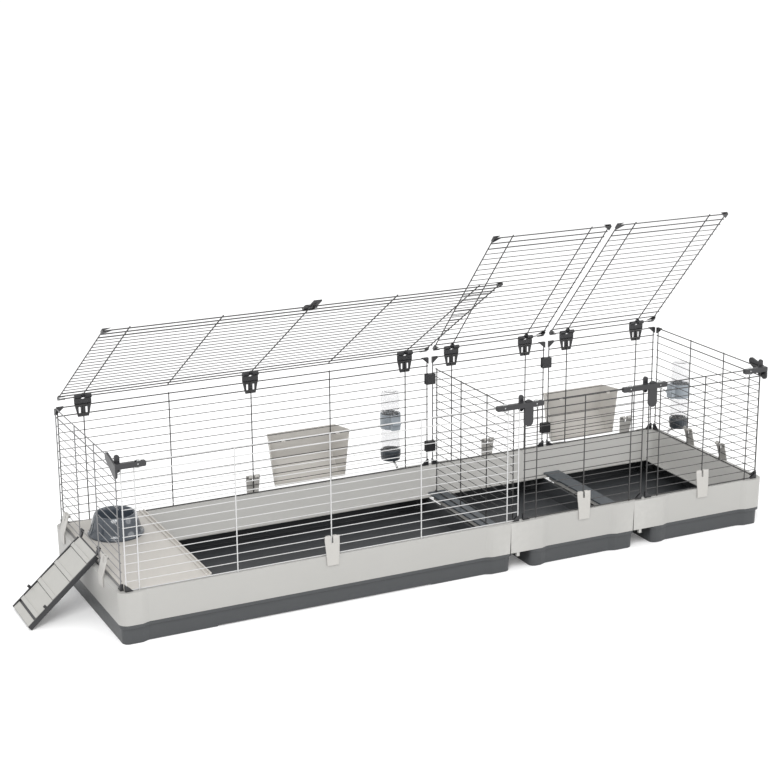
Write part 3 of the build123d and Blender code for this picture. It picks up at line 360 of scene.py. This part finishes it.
class Panel:
    """A wire panel's plane: origin, direction along it, direction up it, and outward normal."""

    def __init__(self, origin, along, normal):
        self.origin = np.array(origin, float)
        self.along = np.array(along, float)
        self.normal = np.array(normal, float)
        self.up = np.cross(self.normal, self.along)

    def point(self, along, up, out):
        """Points in the frame from places on the panel."""
        along, up, out = np.broadcast_arrays(*(np.asarray(value, float) for value in (along, up, out)))
        return (self.origin + along[..., None] * self.along + up[..., None] * self.up
                + out[..., None] * self.normal)


def wire_panel(node, panel, length, columns, rows, pitch, strong_rows, doorway=None):
    """Welded panel of round wires with a bead at each crossing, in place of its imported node."""
    height = rows * pitch + 2 * CORNER
    spans, radii, outs = [], [], []
    for row in range(rows + 1):
        level = CORNER + row * pitch
        strong = row in strong_rows
        pieces = [(0.0, length)]
        if doorway and doorway[2] < level < doorway[3]:
            pieces = [(0.0, doorway[0]), (doorway[1], length)]
        for start, end in pieces:
            spans.append((start, end, level))
            radii.append(STRONG if strong else THIN)
            outs.append(-STRONG_LAYER if strong else -THIN_LAYER)
    spans, radii, outs = np.array(spans), np.array(radii), np.array(outs)
    posts = np.array([CORNER, *columns, length - CORNER], float)
    starts = [panel.point(spans[:, 0], spans[:, 2], outs), panel.point(posts, 0.0, 0.0)]
    ends = [panel.point(spans[:, 1], spans[:, 2], outs), panel.point(posts, height, 0.0)]
    radii = np.concatenate([radii, np.full(len(posts), STRONG)])
    vertices, faces = tube_mesh(np.concatenate(starts), np.concatenate(ends), radii)
    crossings = [(post, level) for start, end, level in spans for post in posts if start <= post <= end]
    crossings = np.array(crossings)
    beads = panel.point(crossings[:, 0], crossings[:, 1], -STRONG - WELD / 2)
    bead_points, bead_faces = bead_mesh((beads, panel.normal, panel.along), BEAD_RADIUS, BEAD_FLAT)
    shift = len(vertices)
    faces += [[corner + shift for corner in face] for face in bead_faces]
    piece = mesh_piece(f"{node}_wires", np.concatenate([vertices, bead_points]), faces)
    smooth_edges(piece, 50)
    return finish_piece(piece, node)


def revolved(name, profile, origin, axis, toward, sides=48, ribs=0, rib_height=0.0, closed=True):
    """Surface of revolution.

    P(i, t) = O + (r_i + h cos(n t) m_i) (cos t U + sin t V) + z_i W, for profile points (r_i, z_i, m_i),
    where W is the axis, h and n give ribs round it, and m_i is 1 where the profile is ribbed. A closed
    profile is the section of a shell; an open one is capped by a flat face at each end.
    """
    points = np.array([(*point, 0.0) if len(point) == 2 else point for point in profile], float)
    axis = np.array(axis, float) / np.linalg.norm(axis)
    u = np.array(toward, float) - np.dot(toward, axis) * axis
    u /= np.linalg.norm(u)
    v = np.cross(axis, u)
    t = np.linspace(0, 2 * math.pi, sides, endpoint=False)
    around = np.cos(t)[:, None] * u + np.sin(t)[:, None] * v
    radius = points[:, 0, None] + points[:, 2, None] * rib_height * np.cos(ribs * t)[None]
    vertices = (np.array(origin, float) + radius[..., None] * around[None]
                + points[:, 1, None, None] * axis)
    index = np.arange(len(points) * sides).reshape(len(points), sides)
    after = np.roll(index, -1, axis=0) if closed else index[1:]
    before = index if closed else index[:-1]
    quads = np.stack([before, np.roll(before, -1, 1), np.roll(after, -1, 1), after], -1).reshape(-1, 4)
    faces = quads.tolist()
    if not closed:
        faces += [index[0, ::-1].tolist(), index[-1].tolist()]
    piece = mesh_piece(name, vertices.reshape(-1, 3), faces)
    work = bmesh.new()
    work.from_mesh(piece.data)
    bmesh.ops.recalc_face_normals(work, faces=work.faces)
    work.to_mesh(piece.data)
    work.free()
    smooth_edges(piece, 35)
    return piece


def arc_points(centre, radius, start, end, steps=6):
    """Profile points on an arc, (r, z) = C + R (cos a, sin a), angles in degrees."""
    angles = np.radians(np.linspace(start, end, steps))
    return [(centre[0] + radius * math.cos(a), centre[1] + radius * math.sin(a)) for a in angles]


EDGE_ROWS = (0, WALL_ROWS - 1, WALL_ROWS)
for number, name in enumerate(("large", "small_1", "small_2")):
    start, end = STARTS[number] + PANEL_END_GAP, ENDS[number] - PANEL_END_GAP
    columns = [STARTS[number] + column - start for column in FRONT_COLUMNS[number]]
    wire_panel(f"front_panel_{name}", Panel((LEFT + start, FRONT, RIM), (1, 0, 0), (0, -1, 0)),
               end - start, columns, WALL_ROWS, PITCH, EDGE_ROWS)
    columns = [end - STARTS[number] - column for column in REAR_COLUMNS[number]]
    wire_panel(f"rear_panel_{name}", Panel((LEFT + end, REAR, RIM), (-1, 0, 0), (0, 1, 0)),
               end - start, columns, WALL_ROWS, PITCH, EDGE_ROWS)

END_WIDTH = DEPTH - 2 * END_PANEL_INSET
END_START = DEPTH - END_PANEL_INSET
sill = CORNER + SILL_ROW * PITCH + PITCH / 2
lintel = CORNER + LINTEL_ROW * PITCH - PITCH / 2
wire_panel("left_end_panel", Panel((LEFT, FRONT + END_START, RIM), (0, -1, 0), (-1, 0, 0)), END_WIDTH,
           [END_START - column for column in END_COLUMNS], WALL_ROWS, PITCH, EDGE_ROWS,
           (END_START - END_COLUMNS[1], END_START - END_COLUMNS[0], sill, lintel))
wire_panel("right_end_panel", Panel((RIGHT, FRONT + END_PANEL_INSET, RIM), (0, 1, 0), (1, 0, 0)), END_WIDTH,
           [column - END_PANEL_INSET for column in END_COLUMNS], WALL_ROWS, PITCH, EDGE_ROWS)
PARTITION_WIDTH = DEPTH - 2 * PARTITION_INSET - PARTITION_CLEARANCE
partition = Panel((LEFT + LARGE, -PARTITION_WIDTH / 2, PARTITION_FOOT), (0, 1, 0), (1, 0, 0))
wire_panel("partition_panel", partition,
           PARTITION_WIDTH, [PARTITION_WIDTH / 3, PARTITION_WIDTH * 2 / 3], PARTITION_ROWS, PITCH,
           (0, PARTITION_ROWS))

for number, (name, opening) in enumerate(OPENINGS):
    start, end = STARTS[number] + ROOF_END_GAP, ENDS[number] - ROOF_END_GAP
    cosine, sine = math.cos(math.radians(opening)), math.sin(math.radians(opening))
    rise = np.array((0.0, sine, cosine))
    toward_rear = np.array((0.0, cosine, -sine))
    origin = np.array((LEFT + end, REAR, HINGE_LEVEL)) + rise * STRONG_LAYER + toward_rear * CORNER
    strong_rows = (0, 1, 2, ROOF_ROWS - 2, ROOF_ROWS - 1, ROOF_ROWS)
    wire_panel(f"roof_{name}", Panel(origin, (-1, 0, 0), rise), end - start,
               [end - STARTS[number] - column for column in REAR_COLUMNS[number]], ROOF_ROWS,
               ROOF_DEPTH / ROOF_ROWS, strong_rows)

for node, width, segments in (
        ("frame_large", 1.3, 3), ("frame_small_1", 1.3, 3), ("frame_small_2", 1.3, 3),
        ("tray_large", 1.2, 3), ("tray_small_1", 1.2, 3), ("tray_small_2", 1.2, 3),
        ("bridge_bars", 1.5, 3), ("shelf", 1.4, 3), ("wall_corner_caps", 0.45, 2),
        ("rear_joiners", 1.2, 2), ("hinge_clips", 0.9, 2), ("roof_fittings_large", 0.4, 2),
        ("roof_fittings_small_1", 0.4, 2), ("roof_fittings_small_2", 0.4, 2), ("roof_latch_body", 1.2, 3),
        ("roof_latch_lever", 1.1, 3), ("end_connectors", 1.3, 3), ("middle_connectors", 1.3, 3),
        ("hay_rack_1", 1.1, 3), ("hay_rack_2", 1.1, 3), ("bottle_holders", 1.0, 3),
        ("ramp_rails", 0.8, 2), ("ramp_hooks", 0.6, 2)):
    softened(node, width, segments)
for node in frame["nodes"]:
    if node.startswith("knob_"):
        softened(node, 0.6, 3)
    elif node.startswith("panel_clip_"):
        softened(node, 0.7, 3)

# Bottles, caps and spouts
BOTTLE, NECK, FOOT, CROWN = 29.0, 25.0, 58.0, 248.0
BOTTLE_WALL, BOTTLE_STANDOFF, RING_DEPTH, RING_PITCH = 1.6, 40.0, 0.7, 12.0
SPOUT_LEVEL, SPOUT_TILT = 36.0, 30.0
BOTTLE_PLACES = (((LEFT + 1078.0, REAR + BOTTLE_STANDOFF, RIM), (0, 1, 0)),
                 ((RIGHT + BOTTLE_STANDOFF, FRONT + 480.0, RIM), (1, 0, 0)))
for number, (place, out) in enumerate(BOTTLE_PLACES, 1):
    outer = [(NECK, FOOT - 12.0), (NECK, FOOT), (NECK + 1.5, FOOT)]
    outer += arc_points((BOTTLE - 3.0, FOOT + 3.0), 3.0, -90, 0, 4)
    for level in range(4):
        base = FOOT + 118.0 + level * RING_PITCH
        outer += [(BOTTLE, base - 3.0), (BOTTLE - RING_DEPTH, base - 1.5),
                  (BOTTLE - RING_DEPTH, base + 1.5), (BOTTLE, base + 3.0)]
    outer += arc_points((BOTTLE - 12.0, CROWN - 12.0), 12.0, 0, 80, 7) + [(BOTTLE - 14.0, CROWN - 0.2)]
    inner = [(radius - BOTTLE_WALL, min(level, CROWN - 1.8) + (0.2 if level > FOOT else 0.0))
             for radius, level in outer[::-1]]
    shell = outer + [(0.4, CROWN - 0.4), (0.4, CROWN - 1.8)] + inner
    finish_piece(revolved(f"bottle_{number}_shell", shell, place, (0, 0, 1), out), f"bottle_{number}")
    cap = [(NECK + 0.4, FOOT - 13.0), (NECK + 0.4, FOOT), (30.6, FOOT)]
    cap += [(31.4, FOOT - 1.2, 1.0), (31.4, FOOT - 20.0, 1.0)]
    cap += [(30.2, FOOT - 21.5), (30.2, FOOT - 30.0)] + arc_points((27.0, FOOT - 31.0), 3.0, 0, -90, 4)
    cap += [(8.0, FOOT - 34.0), (0.4, FOOT - 34.0), (0.4, FOOT - 13.6)]
    finish_piece(revolved(f"bottle_{number}_screw_cap", cap, place, (0, 0, 1), out, 96, 24, 0.5),
                 f"bottle_cap_{number}")
    tilt = math.radians(SPOUT_TILT)
    axis = np.array(out, float) * -math.cos(tilt) + np.array((0, 0, -math.sin(tilt)))
    root = np.array(place) + (0, 0, SPOUT_LEVEL)
    spout = [(3.0, 0.0), (4.0, 0.0), (4.0, 48.0)] + arc_points((3.0, 53.0), 1.0, 0, 180, 5)
    spout += [(2.7, 52.0), (3.0, 50.0)]
    tube = revolved(f"bottle_{number}_tube", spout, root, axis, (0, 0, 1), 24)
    finish_piece(tube, f"bottle_spout_{number}")
    ball = arc_points((0.0, 51.2), 2.6, -89, 89, 9)
    finish_piece(revolved(f"bottle_{number}_ball", ball, root, axis, (0, 0, 1), 16, closed=False),
                 f"bottle_spout_{number}", replace=False)

# Bowl: skirt, waist, rolled rim and a dished well
bowl_centre = (LEFT + 118.0, FRONT + 424.0, RIM + SHELF_THICKNESS)
bowl = arc_points((78.6, 1.4), 1.4, -90, 0, 3) + arc_points((78.0, 5.0), 2.0, 0, 75, 4)
bowl += [(74.0, 11.0), (70.5, 24.0), (65.5, 42.0), (60.2, 58.0)]
bowl += arc_points((55.6, 59.0), 3.0, 10, 170, 8)
bowl += [(50.6, 52.0), (48.6, 40.0), (46.0, 28.0)] + arc_points((36.0, 24.4), 8.0, -10, -90, 6)
bowl += [(20.0, 16.1), (0.5, 16.0), (0.5, 0.0), (30.0, 0.0)]
finish_piece(revolved("bowl_turned", bowl, bowl_centre, (0, 0, 1), (1, 0, 0), 96), "bowl")

# Ramp: light stepped panels, each falling from its upper to its lower edge, on a dark base whose strips
# showing between and beside them are painted shadow lines
RAMP_LENGTH, RAMP_BOTTOM, FLOOR_CLEARANCE = 280.0, 19.0, 0.3
BOARD_START, HALF_BOARD = 14.0, 78.0
BOARD_BACK, BOARD_FACE = -12.0, -9.6
FIRST_RIB, RIB_PITCH = 45.0, 66.0
hinge = np.array((LEFT + THIN_LAYER, 0.0, RIM + CORNER + SILL_ROW * PITCH))
fall = (math.asin((hinge[2] - FLOOR_CLEARANCE) / math.hypot(RAMP_LENGTH, RAMP_BOTTOM))
        - math.atan2(RAMP_BOTTOM, RAMP_LENGTH))
DOWN = np.array((-math.cos(fall), 0.0, -math.sin(fall)))
FACE = np.array((-math.sin(fall), 0.0, math.cos(fall)))
SIDE = np.array((0.0, 1.0, 0.0))


def ramp_block(bottom, top):
    """Eight corners of a tread: (along, across, up) of its lower and upper face, four each, in order."""
    corners = np.array(bottom + top, float)
    return hinge + corners[:, :1] * DOWN + corners[:, 1:2] * SIDE + corners[:, 2:] * FACE


BLOCK_FACES = np.array([(3, 2, 1, 0), (4, 5, 6, 7), (0, 1, 5, 4), (1, 2, 6, 5), (2, 3, 7, 6), (3, 0, 4, 7)])


def ramp_piece(name, blocks, slot, width):
    """Blocks joined to one rounded piece of the ramp."""
    vertices = np.concatenate([ramp_block(*block) for block in blocks])
    faces = (BLOCK_FACES[None] + 8 * np.arange(len(blocks))[:, None, None]).reshape(-1, 4).tolist()
    piece = mesh_piece(name, vertices, faces)
    work = bmesh.new()
    work.from_mesh(piece.data)
    bmesh.ops.recalc_face_normals(work, faces=work.faces)
    work.to_mesh(piece.data)
    work.free()
    bevel = piece.modifiers.new("rounding", "BEVEL")
    bevel.width = width * MM
    bevel.segments = 2
    smooth_edges(piece)
    piece.data.materials.append(MATERIALS[slot])
    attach(piece, BODY_OF["ramp_board"])
    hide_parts("ramp_board")
    return piece


def flat_block(start, end, near, far, low, high, drop=0.0):
    """A block from start to end along the ramp, its top lowered by drop at the start."""
    bottom = [(start, near, low), (end, near, low), (end, far, low), (start, far, low)]
    top = [(start, near, high - drop), (end, near, high), (end, far, high), (start, far, high - drop)]
    return bottom, top


board = flat_block(BOARD_START, RAMP_LENGTH, -HALF_BOARD, HALF_BOARD, BOARD_BACK, BOARD_FACE)
ramp_piece("ramp_base_painted_shadow", [board], "ramp_dark_plastic", 0.4)
# The treads stop short of the board's near side and of each other, so the dark base shows there as painted
# shadow lines
near, far = -HALF_BOARD + 5.0, HALF_BOARD - 1.5
treads, bars = [], []
for step in range(4):
    rib = FIRST_RIB + RIB_PITCH * step
    top_edge, low_edge = max(rib - RIB_PITCH + 8.0, BOARD_START + 4.0), rib + 6.5
    treads.append(flat_block(top_edge, low_edge - 1.0, near, far, BOARD_FACE, -6.4, 1.8))
    bars.append(flat_block(low_edge - 13.0, low_edge, near - 2.0, far + 0.5, BOARD_FACE, -5.2))
treads.append(flat_block(257.0, RAMP_LENGTH - 1.0, near, far, BOARD_FACE, -7.0, 1.0))
ramp_piece("ramp_treads", treads, "ramp_light_plastic", 0.9)
ramp_piece("ramp_bars", bars, "ramp_light_plastic", 1.2)

# Floor, world and lamps
floor_mesh = bpy.data.meshes.new("floor")
floor_mesh.from_pydata([(-30, -30, 0), (30, -30, 0), (30, 30, 0), (-30, 30, 0)], [], [(0, 1, 2, 3)])
floor = bpy.data.objects.new("floor", floor_mesh)
bpy.context.scene.collection.objects.link(floor)
floor_material = bpy.data.materials.new("floor")
floor_material.use_nodes = True
floor_bsdf = floor_material.node_tree.nodes["Principled BSDF"]
floor_bsdf.inputs["Base Color"].default_value = (0.93, 0.93, 0.93, 1)
floor_bsdf.inputs["Roughness"].default_value = 0.9
floor_mesh.materials.append(floor_material)
# Seen directly, in a reflection or through glass, the floor is lifted to plain white
floor_tree = floor_material.node_tree
rays = floor_tree.nodes.new("ShaderNodeLightPath")
mirrored = math_node(floor_tree, "MAXIMUM", rays.outputs["Is Glossy Ray"],
                     rays.outputs["Is Transmission Ray"])
seen = math_node(floor_tree, "MAXIMUM", rays.outputs["Is Camera Ray"], mirrored)
floor_bsdf.inputs["Emission Color"].default_value = (1, 1, 1, 1)
floor_tree.links.new(math_node(floor_tree, "MULTIPLY", seen, 0.12), floor_bsdf.inputs["Emission Strength"])

world = bpy.data.worlds.new("studio")
bpy.context.scene.world = world
world.use_nodes = True
world.node_tree.nodes["Background"].inputs["Color"].default_value = (1, 1, 1, 1)
world.node_tree.nodes["Background"].inputs["Strength"].default_value = 1.0


def area_light(name, place, target, size, power):
    """A soft box aimed at a point."""
    data = bpy.data.lights.new(name, "AREA")
    data.shape = "DISK"
    data.size = size
    data.energy = power
    lamp = bpy.data.objects.new(name, data)
    direction = Vector(target) - Vector(place)
    lamp.location = place
    lamp.rotation_euler = direction.to_track_quat("-Z", "Y").to_euler()
    bpy.context.scene.collection.objects.link(lamp)


area_light("key", (-2.5, -3.5, 4.0), (0, 0, 0.2), 2.5, 160)
area_light("fill", (3.5, -3.0, 2.5), (0, 0, 0.2), 3.0, 60)

# Camera solved from the photograph: its place, and its right, down and forward directions
PHOTO_FOCAL, PHOTO_HEIGHT, SENSOR = 1807.0, 781.0, 36.0
RIGHT_AXIS = Vector((0.89799, -0.43998, -0.00581))
DOWN_AXIS = Vector((-0.12754, -0.24761, -0.96043))
FORWARD_AXIS = Vector((0.42113, 0.86320, -0.27846))
camera_data = bpy.data.cameras.new("camera")
camera_data.sensor_fit = "VERTICAL"
camera_data.sensor_height = SENSOR
camera_data.lens = SENSOR * PHOTO_FOCAL / PHOTO_HEIGHT
camera_data.clip_end = 100.0
camera = bpy.data.objects.new("camera", camera_data)
turn = Matrix((RIGHT_AXIS, -DOWN_AXIS, -FORWARD_AXIS)).transposed()
camera.matrix_world = Matrix.Translation((-2.3088, -4.5280, 1.9620)) @ turn.to_4x4()
bpy.context.scene.collection.objects.link(camera)
bpy.context.scene.camera = camera
bpy.context.scene.view_settings.view_transform = "Standard"
